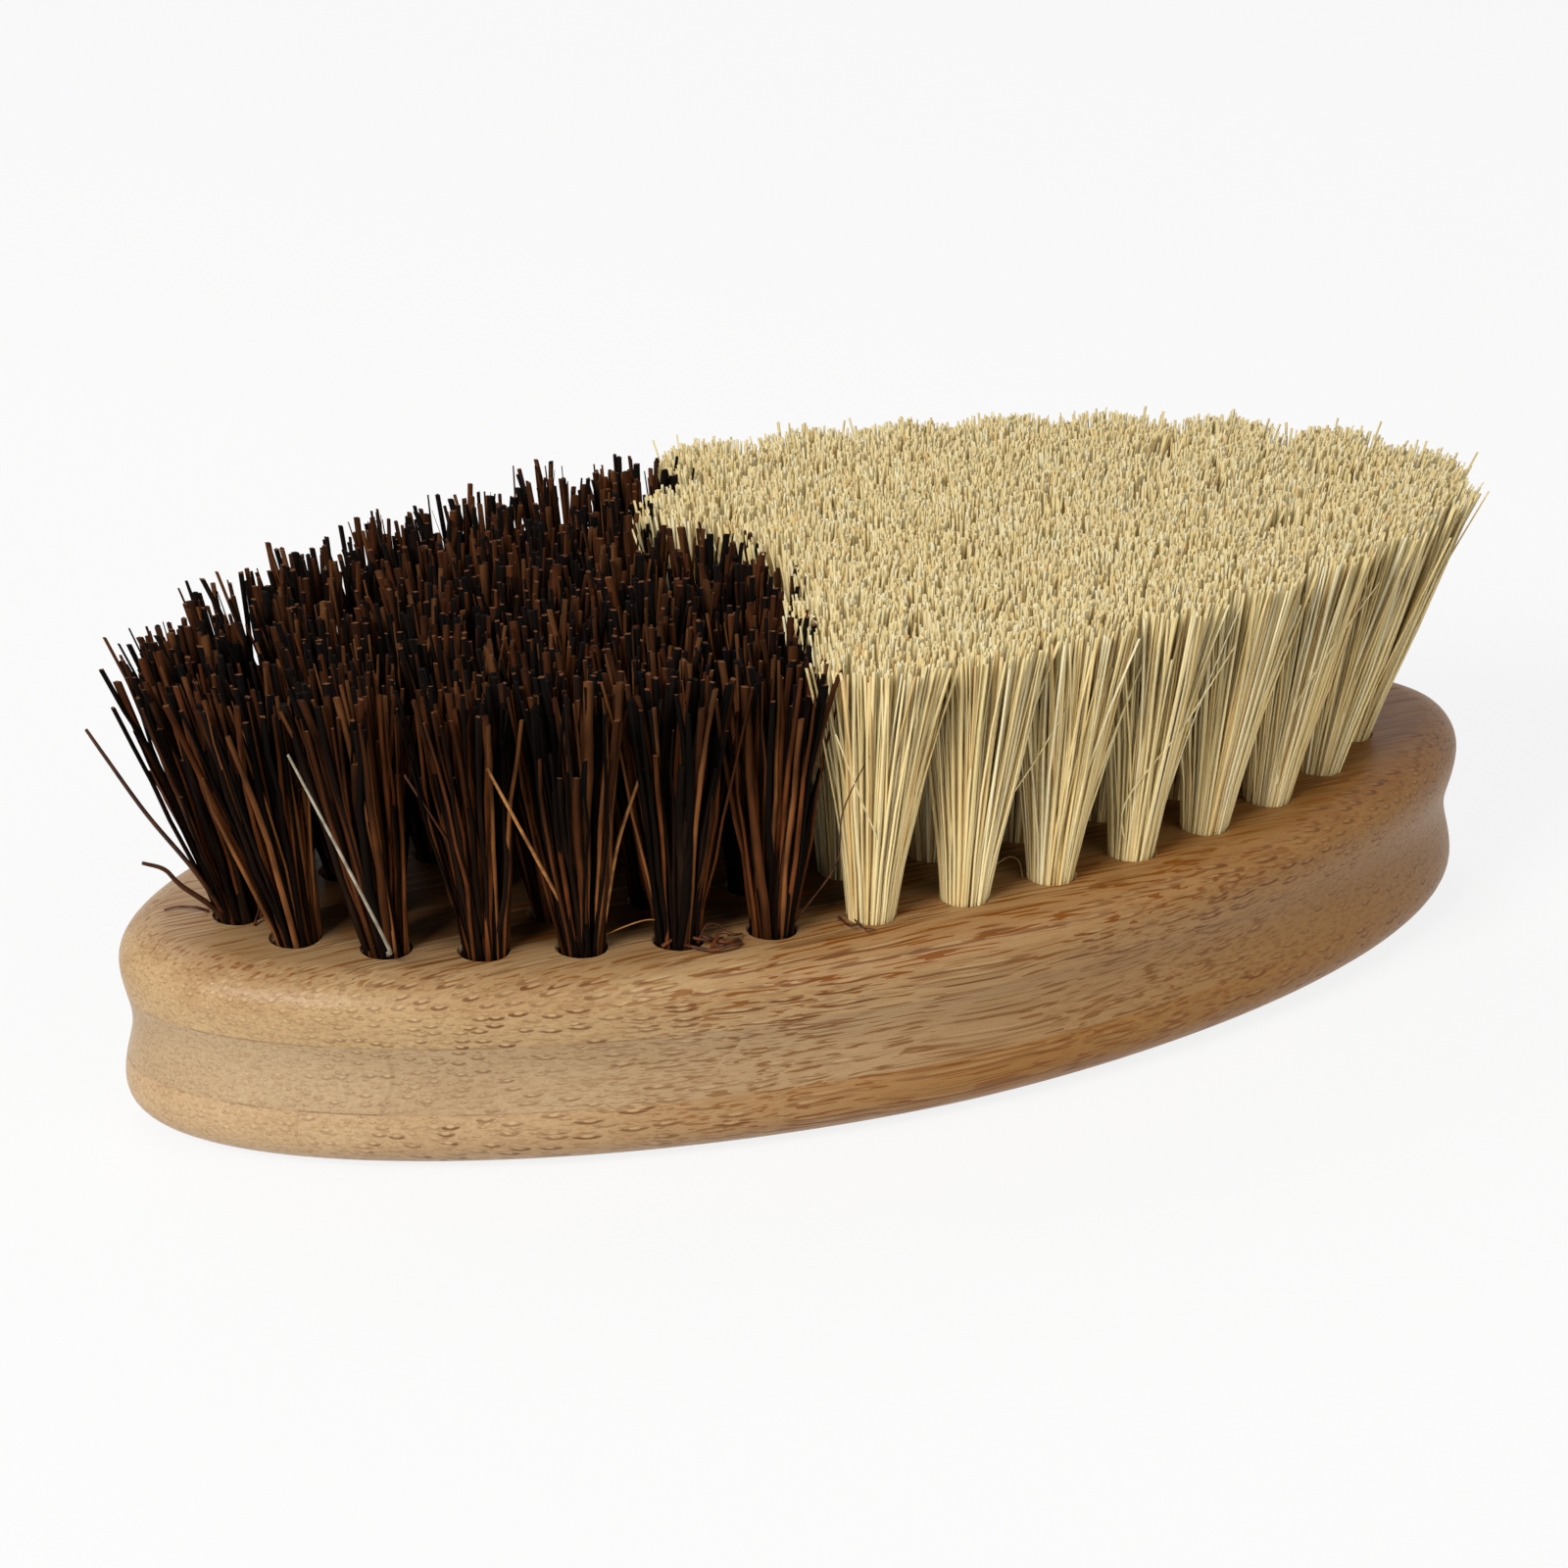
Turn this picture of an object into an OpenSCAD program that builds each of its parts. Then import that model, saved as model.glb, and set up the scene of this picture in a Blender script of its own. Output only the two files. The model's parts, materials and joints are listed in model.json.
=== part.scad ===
// Two-fibre vegetable brush: an oval hand block glued up from three bamboo boards,
// set with tufts of coarse palm fibre at one end and fine sisal at the other.
// Each tuft is folded over a flat wire anchor at the bottom of its own blind hole.
// X runs along the block, Z points from the flat back towards the bristles,
// and the origin is the middle of the flat back.

/* [Block] */
// Length of the block
block_l = 130; // [120:1:140]
// Width of the block
block_w = 58.2; // [56:0.1:62]
// Fullness of the oval, where 2 is an ellipse and less is more pointed
oval_power = 1.85; // [1.8:0.01:2]
// Thickness of the bottom bamboo board
bottom_t = 6; // [5.8:0.1:8]
// Thickness of the middle bamboo board
middle_t = 6; // [5.5:0.1:8]
// Thickness of the top bamboo board
top_t = 6; // [5.4:0.1:8]
// Height of the round along the bottom edge
foot_round_h = 4; // [2:0.1:4.5]
// How far the round along the bottom edge goes in
foot_round_in = 5.2; // [2:0.1:6]
// Height of the round along the top edge
rim_round_h = 3.4; // [1.5:0.1:4]
// How far the round along the top edge goes in
rim_round_in = 4.3; // [1.5:0.1:4.5]
// Depth of the shallow finger groove round the side
groove_deep = 0.85; // [0:0.05:1.4]

/* [Tuft holes] */
// Diameter of a tuft hole
hole_d = 4.1; // [3.8:0.1:4.4]
// Wood left in the middle board under a hole
hole_floor_t = 1; // [0.8:0.1:2.5]
// Distance from the end of the block to the middle of the end hole
end_margin = 11; // [10:0.1:13]
// Distance from the side of the block to the outer oval of holes
side_margin = 6.2; // [5.6:0.1:7]
// Shift of the whole hole pattern along the block
pattern_shift = -0.6; // [-1:0.1:1]
// Holes on each side of the outer oval, between the two end holes
edge_side_holes = 14; // [12:1:14]
// How many of them hold palm on the front side
palm_front_holes = 6; // [4:1:8]
// How many of them hold palm on the back side
palm_back_holes = 7; // [4:1:8]
// Distance along the outer oval from an end hole to the next one
end_gap = 7; // [6.9:0.1:8]
// Distance between the palm holes along the outer oval
palm_pitch = 8.05; // [7.6:0.05:9]
// Holes in each of the two curved rows
side_row_holes = 8; // [6:1:8]
// How many holes of a curved row hold palm
palm_side_row_holes = 3; // [2:1:5]
// How far the curved rows lie inside the outer oval, at the middle
side_row_gap = 9.2; // [8.6:0.1:10]
// Distance along the block from the end hole to the last hole of a curved row
side_end_gap = 23.9; // [22.5:0.1:30]
// Holes in each of the two straight rows
core_row_holes = 11; // [9:1:11]
// How many holes of a straight row hold palm
palm_core_row_holes = 5; // [3:1:7]
// Distance between the two straight rows
core_row_gap = 8.8; // [7.8:0.1:9.4]
// Distance along the block from the end hole to the last hole of a straight row
core_end_gap = 11; // [10:0.1:16]

/* [Tufts] */
// Height from the flat back to the trimmed sisal tips
brush_h = 42; // [36:0.5:50]
// How much lower the tips are at the two ends of the block
end_drop = 1.5; // [0:0.1:3]
// Outward lean of a tuft's tip that grows evenly along the block
lean_even = 1.7; // [1:0.1:3]
// Extra outward lean of the tufts at the palm end
palm_end_lean = 3.2; // [2:0.1:5]
// Extra outward lean of the tufts at the sisal end
sisal_end_lean = 4.4; // [2:0.1:5]
// Outward lean of the tufts along the sides
side_lean = 2; // [1:0.1:3]
// Fibre packed round the outer strands of a tuft, at the hole
root_cover = 0.25; // [0.2:0.05:0.5]
// Distance of a tuft's outer strands from its middle, at the tips
tip_spread = 3; // [2:0.05:3.1]
// Outer strands round the middle strand of a tuft
outer_strands = 6; // [4:1:6]
// Thickness of a palm strand at the hole
palm_root_d = 1.1; // [0.7:0.05:1.2]
// Thickness of a palm strand at its tip
palm_tip_d = 1.4; // [0.7:0.05:1.5]
// Thickness of a sisal strand at the hole
sisal_root_d = 1; // [0.5:0.05:1.1]
// Thickness of a sisal strand at its tip
sisal_tip_d = 1.4; // [0.5:0.05:1.5]
// How much longer or shorter a palm strand is than the trimmed height
palm_ragged = 1.5; // [0:0.1:2]
// How far the packed root of a tuft stands out of its hole
collar_h = 0.6; // [0.3:0.1:1.5]

/* [Anchors] */
// Thickness of the flat anchor wire
anchor_t = 0.35; // [0.25:0.05:0.5]
// Height of the flat anchor wire
anchor_h = 2.2; // [1.5:0.1:3]
// Thickness of the fold of fibre under the anchor
fold_t = 0.9; // [0.6:0.1:1.5]

/* [Fits] */
// Clearance between a tuft and its hole, and round an anchor
fit_gap = 0.05; // [0.02:0.01:0.1]

/* [Hidden] */

block_t = bottom_t + middle_t + top_t;
hole_deep = middle_t + top_t - hole_floor_t;
groove_from = foot_round_h;
groove_to = block_t - rim_round_h;

outline_sides = 72;
round_steps = 5;
groove_steps = 8;
oval_step = 2;
cut_over = 1;
root_sink = 1;
$fn = 40;

bamboo = "#c79f6b";
bamboo_core = "#b58f66";
palm_brown = "#3b2314";
sisal_cream = "#dccb9c";
wire = "silver";

// Signed power, which keeps the side that a sine or cosine points to.
function root_of(v) = sign(v) * pow(abs(v), 2 / oval_power);

// Outline of the block, drawn in by inset along its own normal.
function outline_point(angle, inset) =
    let (
        x = block_l / 2 * root_of(cos(angle)),
        y = block_w / 2 * root_of(sin(angle)),
        slope_x = sign(x) * pow(abs(2 * x / block_l), oval_power - 1) / block_l,
        slope_y = sign(y) * pow(abs(2 * y / block_w), oval_power - 1) / block_w,
        slope = norm([slope_x, slope_y])
    ) [x - inset * slope_x / slope, y - inset * slope_y / slope];

// Side profile as [height, inset] pairs from below the back to above the top,
// so that the boards can be cut out of it with flat faces.
function side_profile() = concat(
    [[-cut_over, foot_round_in]],
    [for (k = [0:round_steps]) let (a = 90 * k / round_steps)
        [foot_round_h * (1 - cos(a)), foot_round_in * (1 - sin(a))]],
    [for (k = [1:groove_steps - 1]) let (s = k / groove_steps)
        [groove_from + (groove_to - groove_from) * s, groove_deep * (1 - cos(360 * s)) / 2]],
    [for (k = [0:round_steps]) let (a = 90 * k / round_steps)
        [groove_to + rim_round_h * sin(a), rim_round_in * (1 - cos(a))]],
    [[block_t + cut_over, rim_round_in]]
);

module block_form() {
    profile = side_profile();
    rings = len(profile);
    n = outline_sides;
    points = [for (p = profile) for (k = [0:n - 1])
        let (o = outline_point(360 * k / n, p[1])) [o[0], o[1], p[0]]];
    sides = [for (r = [0:rings - 2]) for (k = [0:n - 1])
        let (a = r * n + k, b = r * n + (k + 1) % n, c = b + n, d = a + n)
        each [[a, c, b], [a, d, c]]];
    polyhedron(points, concat(sides,
        [[for (k = [0:n - 1]) k]],
        [[for (k = [n - 1:-1:0]) (rings - 1) * n + k]]));
}

// The stretch of the block between two heights.
module board(from_z, to_z) {
    intersection() {
        block_form();
        translate([-block_l, -block_w, from_z])
            cube([2 * block_l, 2 * block_w, to_z - from_z]);
    }
}

outer_a = block_l / 2 - end_margin;
outer_b = block_w / 2 - side_margin;

// One side of the outer oval of holes, from the palm end to the sisal end,
// with how far along it each point lies.
half_oval = [for (angle = [0:oval_step:180]) [-outer_a * root_of(cos(angle)), outer_b * root_of(sin(angle))]];
half_runs = [for (i = 0, run = 0; i < len(half_oval);
    run = run + (i + 1 < len(half_oval) ? norm(half_oval[i + 1] - half_oval[i]) : 0), i = i + 1) run];
half_length = half_runs[len(half_runs) - 1];

function along_oval(d) =
    [for (axis = [0, 1]) lookup(d, [for (i = [0:len(half_runs) - 1]) [half_runs[i], half_oval[i][axis]]])];

// How far along one side each hole lies: the palm holes at their own distance,
// and the sisal holes spread evenly over the rest.
function side_runs(palm_holes) =
    let (
        last_palm_run = end_gap + (palm_holes - 1) * palm_pitch,
        sisal_holes = edge_side_holes - palm_holes,
        sisal_pitch = (half_length - end_gap - last_palm_run) / sisal_holes
    ) concat(
        [for (k = [0:palm_holes - 1]) end_gap + k * palm_pitch],
        [for (k = [1:sisal_holes]) last_palm_run + k * sisal_pitch]
    );

// A place is [x, y, way out, palm], where way out is the angle straight out of
// the oval, and palm is true for palm and false for sisal.
function place(x, y, palm) = [x + pattern_shift, y, atan2(
    sign(y) * pow(abs(y) / outer_b, oval_power - 1) / outer_b,
    sign(x) * pow(abs(x) / outer_a, oval_power - 1) / outer_a
), palm];

function edge_side(side, palm_holes) =
    let (runs = side_runs(palm_holes))
    [for (k = [0:len(runs) - 1]) let (q = along_oval(runs[k])) place(q[0], side * q[1], k < palm_holes)];

edge_places = concat(
    [place(-outer_a, 0, true)],
    edge_side(-1, palm_front_holes),
    [place(outer_a, 0, false)],
    edge_side(1, palm_back_holes)
);

// Two curved rows follow the outer oval, one on each side.
function curved_row_y(x) =
    (outer_b - side_row_gap) * pow(1 - pow(abs(x) / outer_a, oval_power), 1 / oval_power);
side_row_half = outer_a - side_end_gap;
side_places = [for (side = [-1, 1]) for (k = [0:side_row_holes - 1])
    let (x = side_row_half * (2 * k / (side_row_holes - 1) - 1))
    place(x, side * curved_row_y(x), k < palm_side_row_holes)];

// Two straight rows fill the middle.
core_row_half = outer_a - core_end_gap;
function core_row(side) = [for (k = [0:core_row_holes - 1])
    let (x = core_row_half * (2 * k / (core_row_holes - 1) - 1))
    [x + pattern_shift, side * core_row_gap / 2, side * 90, k < palm_core_row_holes]];
core_rows = [core_row(-1), core_row(1)];

all_places = concat(edge_places, side_places, core_rows[0], core_rows[1]);

function palm_of(places) = [for (p = places) if (p[3]) p];
function sisal_of(places) = [for (p = places) if (!p[3]) p];

palm_edge = palm_of(edge_places);
sisal_edge = sisal_of(edge_places);
palm_side = palm_of(side_places);
sisal_side = sisal_of(side_places);

// Each palm tuft has its own seed, so that no two have the same uneven tips.
side_seed = len(palm_edge);
core_seed = side_seed + len(palm_side);

// Where the middle of a tuft's tips lies, above and outside its hole at p. The extra
// lean grows with the cube of the way to the end, and the drop with its fourth power.
function tip_middle(p) =
    let (
        u = (p[0] - pattern_shift) / outer_a,
        v = p[1] / outer_b,
        end_lean = p[3] ? palm_end_lean : sisal_end_lean
    ) [p[0] + lean_even * u + end_lean * pow(u, 3), p[1] + side_lean * v, brush_h - end_drop * pow(u, 4)];

// Puts its children in the hole at p: the origin at the mouth and Z along the hole.
module in_hole(p) {
    way = tip_middle(p) - [p[0], p[1], block_t];
    turn = atan2(way[1], way[0]);
    tilt = acos(way[2] / norm(way));
    translate([p[0], p[1], block_t]) rotate([0, tilt, turn]) rotate([0, 0, -turn]) children();
}

module bores() {
    for (p = all_places) in_hole(p)
        translate([0, 0, -hole_deep]) cylinder(d = hole_d, h = hole_deep + cut_over);
}

// A three-sided strand between two level triangles.
module strand(root, tip, root_d, tip_d, turn) {
    corners = [for (k = [0:2]) [cos(turn + 120 * k), sin(turn + 120 * k), 0] / 2];
    points = concat([for (c = corners) root + root_d * c], [for (c = corners) tip + tip_d * c]);
    polyhedron(points, concat(
        [[0, 1, 2], [3, 5, 4]],
        [for (k = [0:2]) let (n = (k + 1) % 3) each [[k, k + 3, n + 3], [k, n + 3, n]]]
    ));
}

// The packed root of a tuft, with the slot where it is folded round its anchor.
module tuft_root() {
    slot_h = anchor_h + 2 * fit_gap;
    difference() {
        translate([0, 0, -hole_deep]) cylinder(d = hole_d - 2 * fit_gap, h = hole_deep + collar_h);
        translate([-hole_d / 2, -anchor_t / 2 - fit_gap, fold_t - hole_deep])
            cube([hole_d, anchor_t + 2 * fit_gap, slot_h]);
    }
}

// A whole tuft at p: a middle strand, and outer strands that start straight out
// of the oval. They spread evenly from root to tip, so none cross.
module tuft(p, root_d, tip_d, ragged, seed) {
    root_spread = hole_d / 2 - fit_gap - root_cover - root_d / 2;
    mouth = [p[0], p[1], block_t];
    tip = tip_middle(p);
    root = mouth - (tip - mouth) * root_sink / (tip[2] - block_t);
    uneven = rands(-ragged, ragged, outer_strands + 1, seed);
    in_hole(p) tuft_root();
    for (k = [0:outer_strands]) {
        turn = p[2] + 360 * k / outer_strands;
        spoke = k < outer_strands ? [cos(turn), sin(turn), 0] : [0, 0, 0];
        start = root + root_spread * spoke;
        end = tip + tip_spread * spoke;
        length_part = 1 + uneven[k] / (end[2] - start[2]);
        strand(start, start + (end - start) * length_part, root_d, tip_d, turn);
    }
}

module palm_tufts(places, seed) {
    color(palm_brown) for (k = [0:len(places) - 1])
        tuft(places[k], palm_root_d, palm_tip_d, palm_ragged, seed + k);
}

module sisal_tufts(places) {
    color(sisal_cream) for (p = places) tuft(p, sisal_root_d, sisal_tip_d, 0, 1);
}

module bottom_board() {
    color(bamboo) board(0, bottom_t);
}

module middle_board() {
    color(bamboo_core) difference() {
        board(bottom_t, bottom_t + middle_t);
        bores();
    }
}

module top_board() {
    color(bamboo) difference() {
        board(bottom_t + middle_t, block_t);
        bores();
    }
}

module tuft_anchors() {
    anchor_w = hole_d - 2 * fit_gap;
    color(wire) for (p = all_places) in_hole(p)
        translate([-anchor_w / 2, -anchor_t / 2, fold_t + fit_gap - hole_deep])
            cube([anchor_w, anchor_t, anchor_h]);
}

bottom_board();
middle_board();
top_board();
tuft_anchors();
for (k = [1:len(palm_edge)])
    palm_tufts([palm_edge[k - 1]], k);
for (k = [1:len(sisal_edge)])
    sisal_tufts([sisal_edge[k - 1]]);
for (k = [1:len(palm_side)])
    palm_tufts([palm_side[k - 1]], side_seed + k);
for (k = [1:len(sisal_side)])
    sisal_tufts([sisal_side[k - 1]]);
for (k = [1:len(core_rows)])
    palm_tufts(palm_of(core_rows[k - 1]), core_seed + k * len(core_rows[0]));
for (k = [1:len(core_rows)])
    sisal_tufts(sisal_of(core_rows[k - 1]));
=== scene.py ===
"""A two-fibre vegetable brush: an oval block of three bamboo boards, with tufts
of coarse palm fibre at one end and fine sisal at the other. Lengths are in metres,
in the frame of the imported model. X runs along the block and Z up to the bristles."""
import json
import math

import bmesh
import bpy
from mathutils import Matrix, Vector

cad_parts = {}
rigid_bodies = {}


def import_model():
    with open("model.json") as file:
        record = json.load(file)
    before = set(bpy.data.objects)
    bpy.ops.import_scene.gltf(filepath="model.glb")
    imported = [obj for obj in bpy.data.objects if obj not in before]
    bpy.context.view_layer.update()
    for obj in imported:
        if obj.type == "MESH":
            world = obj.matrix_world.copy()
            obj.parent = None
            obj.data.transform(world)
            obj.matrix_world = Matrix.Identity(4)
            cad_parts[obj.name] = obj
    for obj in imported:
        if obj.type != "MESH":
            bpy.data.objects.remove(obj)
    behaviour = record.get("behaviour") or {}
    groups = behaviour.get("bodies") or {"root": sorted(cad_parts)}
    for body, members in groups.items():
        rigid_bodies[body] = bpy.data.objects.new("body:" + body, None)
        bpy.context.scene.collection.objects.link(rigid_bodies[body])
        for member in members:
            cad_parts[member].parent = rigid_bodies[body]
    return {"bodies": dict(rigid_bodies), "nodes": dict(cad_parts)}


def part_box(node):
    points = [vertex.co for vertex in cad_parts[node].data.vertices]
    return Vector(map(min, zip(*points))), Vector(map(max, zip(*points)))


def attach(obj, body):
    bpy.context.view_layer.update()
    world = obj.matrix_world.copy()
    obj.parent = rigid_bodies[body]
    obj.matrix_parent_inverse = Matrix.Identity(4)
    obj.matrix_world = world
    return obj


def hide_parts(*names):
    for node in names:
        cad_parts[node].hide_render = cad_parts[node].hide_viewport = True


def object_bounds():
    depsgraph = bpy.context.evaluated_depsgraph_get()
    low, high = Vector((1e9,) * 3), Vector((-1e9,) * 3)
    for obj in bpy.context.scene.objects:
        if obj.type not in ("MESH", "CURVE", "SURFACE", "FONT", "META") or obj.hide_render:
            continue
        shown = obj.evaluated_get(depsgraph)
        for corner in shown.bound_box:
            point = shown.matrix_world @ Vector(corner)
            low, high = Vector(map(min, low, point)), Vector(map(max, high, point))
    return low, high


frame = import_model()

bl_info = {
    "name": "Vegetable brush",
    "version": (1, 0, 0),
    "blender": (4, 5, 0),
    "location": "3D View > Sidebar > Brush",
    "description": "Dresses the vegetable brush with bamboo boards and fibre tufts",
    "category": "Object",
}

MM = 0.001
CAD_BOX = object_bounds()
BODY = next(iter(frame["bodies"]))
NODE_NAMES = sorted(frame["nodes"])
BLOCK_LOW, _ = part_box("bottom_board")
_, BLOCK_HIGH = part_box("top_board")
LOWER_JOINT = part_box("bottom_board")[1].z
UPPER_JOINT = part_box("top_board")[0].z


def length_setting(name, description, millimetres):
    """A length that can be set."""
    return bpy.props.FloatProperty(name=name, description=description, default=millimetres * MM,
                                   subtype="DISTANCE", unit="LENGTH")


def angle_setting(name, description, degrees):
    """An angle that can be set."""
    return bpy.props.FloatProperty(name=name, description=description, default=math.radians(degrees),
                                   subtype="ANGLE", unit="ROTATION")


def count_setting(default, most):
    """A number of fibres that can be set."""
    return bpy.props.IntProperty(name="Fibres", description="Fibres in a tuft", default=default,
                                 min=8, max=most)


class BlockSizes(bpy.types.PropertyGroup):
    """Sizes of the bamboo block."""

    oval_power: bpy.props.FloatProperty(
        name="Oval power", description="Fullness of the outline, where 2 is an ellipse", default=1.85)
    foot_round_h: length_setting("Foot round height", "Height of the round along the bottom edge", 4)
    foot_round_in: length_setting(
        "Foot round depth", "How far the round along the bottom edge goes in", 5.2)
    rim_round_h: length_setting("Rim round height", "Height of the round along the top edge", 3.4)
    rim_round_in: length_setting("Rim round depth", "How far the round along the top edge goes in", 4.3)
    groove_deep: length_setting("Groove depth", "Depth of the shallow finger groove round the side", 0.85)
    hole_d: length_setting("Hole diameter", "Diameter of a tuft hole", 4.1)
    hole_deep: length_setting("Hole depth", "Depth of a tuft hole along its own axis", 11)
    hole_flare: length_setting("Hole flare", "Width of the raw edge where the drill broke through", 0.22)


class PalmSizes(bpy.types.PropertyGroup):
    """Sizes of the palm fibre tufts."""

    fibres: count_setting(92, 160)
    thickness: length_setting("Thickness", "Mean thickness of a palm fibre", 0.6)
    root_radius: length_setting("Root radius", "Radius of the tuft at its hole", 1.7)
    tip_radius: length_setting("Tip radius", "Radius of the tuft at its tips", 5.2)
    ragged: length_setting("Ragged", "How uneven the fibre lengths are", 1.3)


class SisalSizes(bpy.types.PropertyGroup):
    """Sizes of the sisal tufts."""

    fibres: count_setting(460, 700)
    thickness: length_setting("Thickness", "Mean thickness of a sisal fibre", 0.3)
    root_radius: length_setting("Root radius", "Radius of the tuft at its hole", 1.8)
    tip_radius: length_setting("Tip radius", "Radius of the tuft at its tips", 5.45)
    ragged: length_setting("Ragged", "How uneven the trimmed lengths are", 0.3)


class StageSizes(bpy.types.PropertyGroup):
    """Camera and floor."""

    camera_turn: angle_setting("Camera turn", "How far the camera stands to the left of the front", 25.67)
    camera_dip: angle_setting("Camera dip", "How far the camera looks down", 23.32)
    camera_roll: angle_setting("Camera roll", "Turn of the camera round its own axis", 0.115)
    camera_distance: length_setting(
        "Camera distance", "From the camera to the point that it aims at", 397.7)
    camera_aim: bpy.props.FloatVectorProperty(
        name="Camera aim", description="Point in the middle of the picture",
        default=(-0.12 * MM, 8.03 * MM, 16.67 * MM), subtype="TRANSLATION", unit="LENGTH")
    camera_lens: bpy.props.FloatProperty(
        name="Lens", description="Focal length in millimetres on a 36 mm sensor", default=100.85)
    floor_reach: length_setting("Floor reach", "Half the width of the floor", 3000)


# Node graphs

class NodeGraph:
    """A node tree with short ways to add nodes and feed their sockets."""

    def __init__(self, tree):
        self.tree = tree

    def add(self, kind, feeds=None, **settings):
        node = self.tree.nodes.new(kind)
        for name, value in settings.items():
            setattr(node, name, value)
        for key, value in (feeds or {}).items():
            self.feed(node.inputs[key], value)
        return node

    def dress(self, shader, looks, height=None, strength=0.0, distance=0.0):
        """Feeds a shader's inputs, and bumps it where a height is given."""
        for label, value in looks.items():
            self.feed(shader.inputs[label], value)
        if height is not None:
            bump = self.add("ShaderNodeBump", {"Strength": strength, "Distance": distance,
                                               "Height": height})
            self.feed(shader.inputs["Normal"], bump.outputs[0])

    def feed(self, socket, value):
        if isinstance(value, bpy.types.NodeSocket):
            self.tree.links.new(value, socket)
        else:
            socket.default_value = value

    def math(self, operation, *values):
        node = self.add("ShaderNodeMath", operation=operation)
        for socket, value in zip(node.inputs, values):
            self.feed(socket, value)
        return node.outputs[0]

    def plus(self, first, second):
        return self.math("ADD", first, second)

    def minus(self, first, second):
        return self.math("SUBTRACT", first, second)

    def times(self, first, second):
        return self.math("MULTIPLY", first, second)

    def over(self, first, second):
        return self.math("DIVIDE", first, second)

    def vector(self, operation, *values):
        node = self.add("ShaderNodeVectorMath", operation=operation)
        sockets = [node.inputs[0], node.inputs["Scale"]] if operation == "SCALE" else node.inputs
        for socket, value in zip(sockets, values):
            self.feed(socket, value)
        return node.outputs["Value" if operation in ("LENGTH", "DISTANCE") else "Vector"]

    def object_place(self):
        return self.add("ShaderNodeTexCoord").outputs["Object"]

    def combine(self, x=0.0, y=0.0, z=0.0):
        return self.add("ShaderNodeCombineXYZ", {"X": x, "Y": y, "Z": z}).outputs[0]

    def split(self, vector):
        return self.add("ShaderNodeSeparateXYZ", {0: vector}).outputs

    def ramp(self, value, low, high, start=0.0, end=1.0):
        """A smooth step from start, at low, to end, at high."""
        node = self.add("ShaderNodeMapRange", interpolation_type="SMOOTHSTEP")
        for key, given in (("Value", value), ("From Min", low), ("From Max", high),
                           ("To Min", start), ("To Max", end)):
            self.feed(node.inputs[key], given)
        return node.outputs["Result"]

    def blend(self, factor, first, second, blend_type="MIX"):
        """Mixes two colours."""
        node = self.add("ShaderNodeMix", data_type="RGBA", blend_type=blend_type)
        self.feed(node.inputs[0], factor)
        self.feed(node.inputs[6], first)
        self.feed(node.inputs[7], second)
        return node.outputs[2]

    def noise(self, vector, scale, detail=2.0, rough=0.5):
        """Noise from 0 to 1 over the vector, as a value and a colour."""
        node = self.add("ShaderNodeTexNoise", {"Vector": vector, "Scale": scale, "Detail": detail,
                                               "Roughness": rough})
        return node.outputs["Fac"], node.outputs["Color"]

    def stops(self, value, colours, interpolation="LINEAR"):
        """A colour ramp through (place, colour) pairs."""
        node = self.add("ShaderNodeValToRGB", {"Fac": value})
        ramp = node.color_ramp
        ramp.interpolation = interpolation
        while len(ramp.elements) < len(colours):
            ramp.elements.new(0.5)
        for element, (place, colour) in zip(ramp.elements, colours):
            element.position = place
            element.color = colour
        return node.outputs["Color"]


def linear(red, green, blue):
    """The linear colour of an 8 bit one."""
    def channel(value):
        part = value / 255
        return part / 12.92 if part <= 0.04045 else ((part + 0.055) / 1.055) ** 2.4
    return (channel(red), channel(green), channel(blue), 1.0)


def new_material(name):
    """A material with only its output and a Principled shader."""
    material = bpy.data.materials.new(name)
    material.use_nodes = True
    g = NodeGraph(material.node_tree)
    for node in list(material.node_tree.nodes):
        if node.type not in ("BSDF_PRINCIPLED", "OUTPUT_MATERIAL"):
            material.node_tree.nodes.remove(node)
    shader = material.node_tree.nodes["Principled BSDF"]
    return material, g, shader


# Bamboo

def bundle_marks(g, across, up, cell, size):
    """The fibre bundles that the surface cuts: a pale lens with a dark edge below it.

    The bundles run along X, so they show as dots at the ends of the block, as short
    dashes where its side turns, and as long streaks along its front."""
    place = g.combine(g.over(across, cell), g.over(up, cell))
    bundle = g.add("ShaderNodeTexVoronoi", {"Vector": place, "Scale": 1.0, "Randomness": 0.85},
                   voronoi_dimensions="2D")
    luck = g.ramp(g.split(bundle.outputs["Color"])[0], 0.05, 0.6, 0.25, 1.0)
    radius = size / cell
    below = g.split(g.vector("SUBTRACT", bundle.outputs["Position"], place))[1]
    off_edge = g.math("ABSOLUTE", g.minus(bundle.outputs["Distance"], radius))
    edge = g.times(g.ramp(off_edge, 0.25 * radius, 0.6 * radius, 1.0, 0.0),
                   g.ramp(below, -0.3 * radius, 0.4 * radius, 0.2, 1.0))
    lens = g.ramp(bundle.outputs["Distance"], 0.4 * radius, 0.8 * radius, 1.0, 0.0)
    return g.times(edge, luck), g.times(lens, luck)


BROWN_TONE_AND_SHADE = linear(146, 98, 32)
SHADED_BAMBOO = linear(32, 18, 10)
PALE_LENS = linear(226, 196, 150)
DARK_BUNDLE = linear(98, 54, 14)
STRIP_GLUE = linear(96, 62, 34)
BOARD_GLUE = linear(92, 58, 30)
STRIP_WIDE = 21.5
FLAT_TOP_FROM, FLAT_TOP_TO = 16.4, 17.6


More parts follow.
